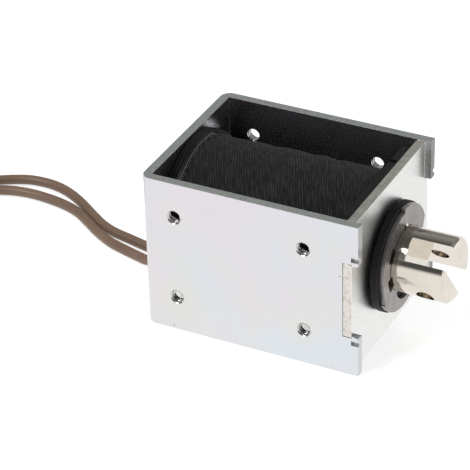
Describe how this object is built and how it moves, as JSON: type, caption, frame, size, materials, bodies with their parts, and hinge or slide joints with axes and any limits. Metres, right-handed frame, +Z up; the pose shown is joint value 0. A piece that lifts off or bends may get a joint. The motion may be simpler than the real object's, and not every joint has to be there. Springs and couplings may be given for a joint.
{
  "type": "push pull solenoid",
  "caption": "Open frame push pull solenoid with a forked plunger, cloth wrapped coil, rubber stop washer, rear push rod and two flying leads.",
  "frame": {"origin": "on the supporting surface, midway between the end of the push rod and the end of the plunger, on the mid plane of the frame, with the leads left out", "axes": "+X along the plunger axis and out of its forked end, +Y to the far side leg, +Z up"},
  "size_m": [0.1636, 0.0587, 0.0366],
  "materials": {
    "zinc_sheet": "clear passivated zinc with a faint pink and blue bloom",
    "zinc_plate": "clear passivated zinc, fine tumbled grain",
    "bobbin_nylon": "moulded black nylon, satin",
    "enamelled_copper": "enamelled copper wire, level wound",
    "film_tape": "clear yellow polyester film",
    "cloth_wrap": "black twill cloth with ribs round the coil",
    "tube_brass": "drawn, bright inside",
    "core_steel": "turned soft iron, zinc plated",
    "bush_bronze": "sintered, oiled",
    "shim_brass": "flat stamped",
    "outlet_nylon": "moulded black nylon",
    "lead_insulation": "extruded brown insulation, slight sheen",
    "solder": "dull solder",
    "glass_sleeve": "varnished glass sleeving",
    "tinned_wire": "tinned strand",
    "washer_rubber": "matt black rubber",
    "nickel_plate": "electroless nickel, soft mirror",
    "phosphated_ring": "phosphated and oiled spring steel",
    "rod_steel": "drawn stainless steel, polished end"
  },
  "bodies": {
    "solenoid": {"frame": "zinc_sheet", "front_plate": "zinc_plate", "bobbin": "bobbin_nylon", "winding": "enamelled_copper", "coil_tape": "film_tape", "coil_wrap": "cloth_wrap", "guide_tube": "tube_brass", "fixed_core": "core_steel", "rod_bush": "bush_bronze", "residual_shim": "shim_brass", "lead_outlet": "outlet_nylon", "inner_leads": "lead_insulation", "solder_joints": "solder", "joint_sleeves": "glass_sleeve", "lead_a": "lead_insulation", "lead_b": "lead_insulation", "lead_a_coil": "lead_insulation", "lead_b_coil": "lead_insulation", "lead_a_tip": "tinned_wire", "lead_b_tip": "tinned_wire"},
    "stop_washer": {"damping_washer": "washer_rubber"},
    "plunger_set": {"plunger": "nickel_plate", "retaining_ring": "phosphated_ring", "push_rod": "rod_steel"}
  },
  "joints": [
    {"name": "plunger_slide", "type": "slide", "parent": "solenoid", "child": "stop_washer", "axis": [1, 0, 0], "range_m": [-0.0005, 0.012]},
    {"name": "plunger_turn", "type": "hinge", "parent": "stop_washer", "child": "plunger_set", "pos_m": [0, 0, 0.0183], "axis": [1, 0, 0], "continuous": true}
  ]
}
